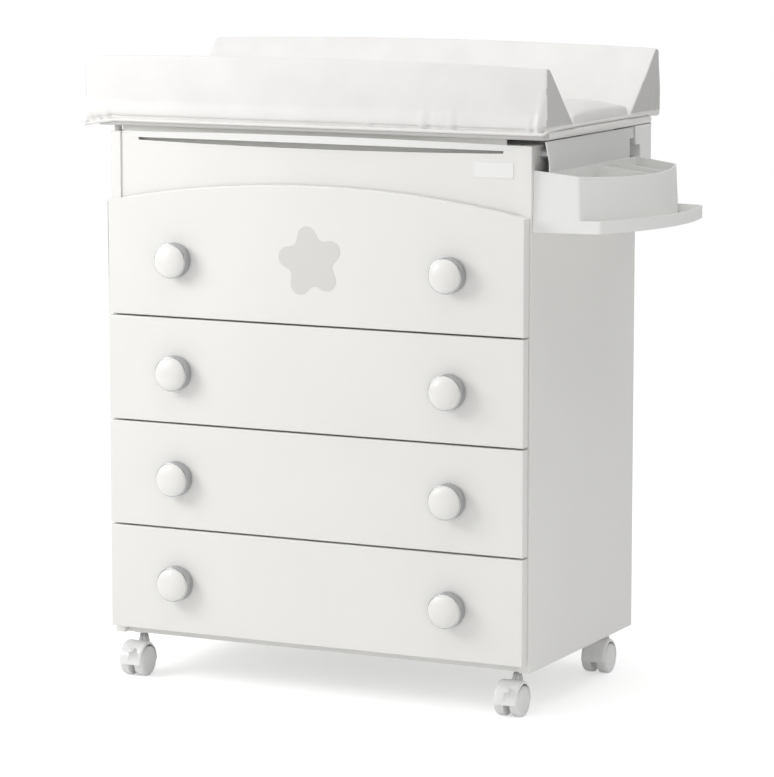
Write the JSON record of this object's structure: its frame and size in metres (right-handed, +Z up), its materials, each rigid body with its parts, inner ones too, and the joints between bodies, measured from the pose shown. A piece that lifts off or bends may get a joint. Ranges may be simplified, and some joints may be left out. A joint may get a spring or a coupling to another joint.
{
  "type": "changing table with basin",
  "caption": "White nursery chest on castors with drawers, a lifting padded changing top over a bath tub, and a hanging side tray.",
  "frame": {"origin": "on the floor, in the middle of the ground that the whole object covers", "axes": "+Z up, -Y towards the person who stands at the drawers, +X to that person's right, where the side tray hangs"},
  "size_m": [0.968, 0.512, 1.0504],
  "materials": {
    "lacquered_board": "satin white lacquer on board",
    "hardboard": "white faced thin board",
    "star_lacquer": "matt pale grey lacquer",
    "tub_plastic": "glossy moulded",
    "tray_plastic": "satin moulded",
    "runner_plastic": "extruded",
    "hinge_steel": "zinc plated",
    "castor_plastic": "moulded",
    "castor_tread": "soft tread",
    "knob_metal": "satin",
    "rest_rubber": "soft",
    "mat_cover": "coated fabric"
  },
  "bodies": {
    "chest": {"side_panel_left": "lacquered_board", "side_panel_right": "lacquered_board", "bottom_panel": "lacquered_board", "fascia_panel": "lacquered_board", "rear_rail": "lacquered_board", "tub_cleats": "lacquered_board", "back_panel": "hardboard", "drawer_runners": "runner_plastic", "bath_tub": "tub_plastic", "tub_plug": "rest_rubber", "hinge_post_left": "tray_plastic", "hinge_post_right": "tray_plastic", "hinge_leaves_fixed": "hinge_steel", "hinge_pins": "hinge_steel", "board_rests": "rest_rubber", "tray_hanger_plate": "tray_plastic", "hanger_spacers": "hinge_steel", "castor_sockets": "castor_plastic"},
    "changing_top": {"changing_board": "lacquered_board", "hinge_leaves_moving": "hinge_steel", "mat_wedge_front": "mat_cover", "mat_wedge_rear": "mat_cover", "mat_pad": "mat_cover"},
    "tray": {"side_tray": "tray_plastic"},
    "drawer_1": {"drawer_1_front": "lacquered_board", "drawer_1_box": "lacquered_board", "drawer_1_floor": "hardboard", "drawer_1_knobs": "knob_metal", "star_inlay": "star_lacquer"},
    "drawer_2": {"drawer_2_front": "lacquered_board", "drawer_2_box": "lacquered_board", "drawer_2_floor": "hardboard", "drawer_2_knobs": "knob_metal"},
    "drawer_3": {"drawer_3_front": "lacquered_board", "drawer_3_box": "lacquered_board", "drawer_3_floor": "hardboard", "drawer_3_knobs": "knob_metal"},
    "drawer_4": {"drawer_4_front": "lacquered_board", "drawer_4_box": "lacquered_board", "drawer_4_floor": "hardboard", "drawer_4_knobs": "knob_metal"},
    "castor_front_left": {"castor_front_left_stem": "hinge_steel", "castor_front_left_hood": "castor_plastic", "castor_front_left_axle": "hinge_steel"},
    "castor_front_left_wheel_pair": {"castor_front_left_wheels": "castor_tread"},
    "castor_front_left_brake": {"castor_front_left_pedal": "castor_plastic"},
    "castor_front_right": {"castor_front_right_stem": "hinge_steel", "castor_front_right_hood": "castor_plastic", "castor_front_right_axle": "hinge_steel"},
    "castor_front_right_wheel_pair": {"castor_front_right_wheels": "castor_tread"},
    "castor_front_right_brake": {"castor_front_right_pedal": "castor_plastic"},
    "castor_rear_left": {"castor_rear_left_stem": "hinge_steel", "castor_rear_left_hood": "castor_plastic", "castor_rear_left_axle": "hinge_steel"},
    "castor_rear_left_wheel_pair": {"castor_rear_left_wheels": "castor_tread"},
    "castor_rear_right": {"castor_rear_right_stem": "hinge_steel", "castor_rear_right_hood": "castor_plastic", "castor_rear_right_axle": "hinge_steel"},
    "castor_rear_right_wheel_pair": {"castor_rear_right_wheels": "castor_tread"}
  },
  "joints": [
    {"name": "top_hinge", "type": "hinge", "parent": "chest", "child": "changing_top", "pos_m": [-0.0595, 0.226, 0.92025], "axis": [-1, 0, 0], "range_deg": [0, 98]},
    {"name": "tray_lift", "type": "slide", "parent": "chest", "child": "tray", "axis": [0, 0, 1], "range_m": [0, 0.012]},
    {"name": "drawer_1_slide", "type": "slide", "parent": "chest", "child": "drawer_1", "axis": [0, -1, 0], "range_m": [0, 0.3]},
    {"name": "drawer_2_slide", "type": "slide", "parent": "chest", "child": "drawer_2", "axis": [0, -1, 0], "range_m": [0, 0.3]},
    {"name": "drawer_3_slide", "type": "slide", "parent": "chest", "child": "drawer_3", "axis": [0, -1, 0], "range_m": [0, 0.3]},
    {"name": "drawer_4_slide", "type": "slide", "parent": "chest", "child": "drawer_4", "axis": [0, -1, 0], "range_m": [0, 0.3]},
    {"name": "castor_front_left_swivel", "type": "hinge", "parent": "chest", "child": "castor_front_left", "pos_m": [-0.403, -0.17, 0.07], "axis": [0, 0, 1], "continuous": true},
    {"name": "castor_front_left_roll", "type": "hinge", "parent": "castor_front_left", "child": "castor_front_left_wheel_pair", "pos_m": [-0.403, -0.192, 0.025], "axis": [1, 0, 0], "continuous": true},
    {"name": "castor_front_left_brake_press", "type": "hinge", "parent": "castor_front_left", "child": "castor_front_left_brake", "pos_m": [-0.403, -0.21843, 0.04718], "axis": [1, 0, 0], "range_deg": [0, 18]},
    {"name": "castor_front_right_swivel", "type": "hinge", "parent": "chest", "child": "castor_front_right", "pos_m": [0.284, -0.17, 0.07], "axis": [0, 0, 1], "continuous": true},
    {"name": "castor_front_right_roll", "type": "hinge", "parent": "castor_front_right", "child": "castor_front_right_wheel_pair", "pos_m": [0.284, -0.192, 0.025], "axis": [1, 0, 0], "continuous": true},
    {"name": "castor_front_right_brake_press", "type": "hinge", "parent": "castor_front_right", "child": "castor_front_right_brake", "pos_m": [0.284, -0.21843, 0.04718], "axis": [1, 0, 0], "range_deg": [0, 18]},
    {"name": "castor_rear_left_swivel", "type": "hinge", "parent": "chest", "child": "castor_rear_left", "pos_m": [-0.403, 0.188, 0.07], "axis": [0, 0, 1], "continuous": true},
    {"name": "castor_rear_left_roll", "type": "hinge", "parent": "castor_rear_left", "child": "castor_rear_left_wheel_pair", "pos_m": [-0.403, 0.166, 0.025], "axis": [1, 0, 0], "continuous": true},
    {"name": "castor_rear_right_swivel", "type": "hinge", "parent": "chest", "child": "castor_rear_right", "pos_m": [0.284, 0.188, 0.07], "axis": [0, 0, 1], "continuous": true},
    {"name": "castor_rear_right_roll", "type": "hinge", "parent": "castor_rear_right", "child": "castor_rear_right_wheel_pair", "pos_m": [0.284, 0.166, 0.025], "axis": [1, 0, 0], "continuous": true}
  ]
}
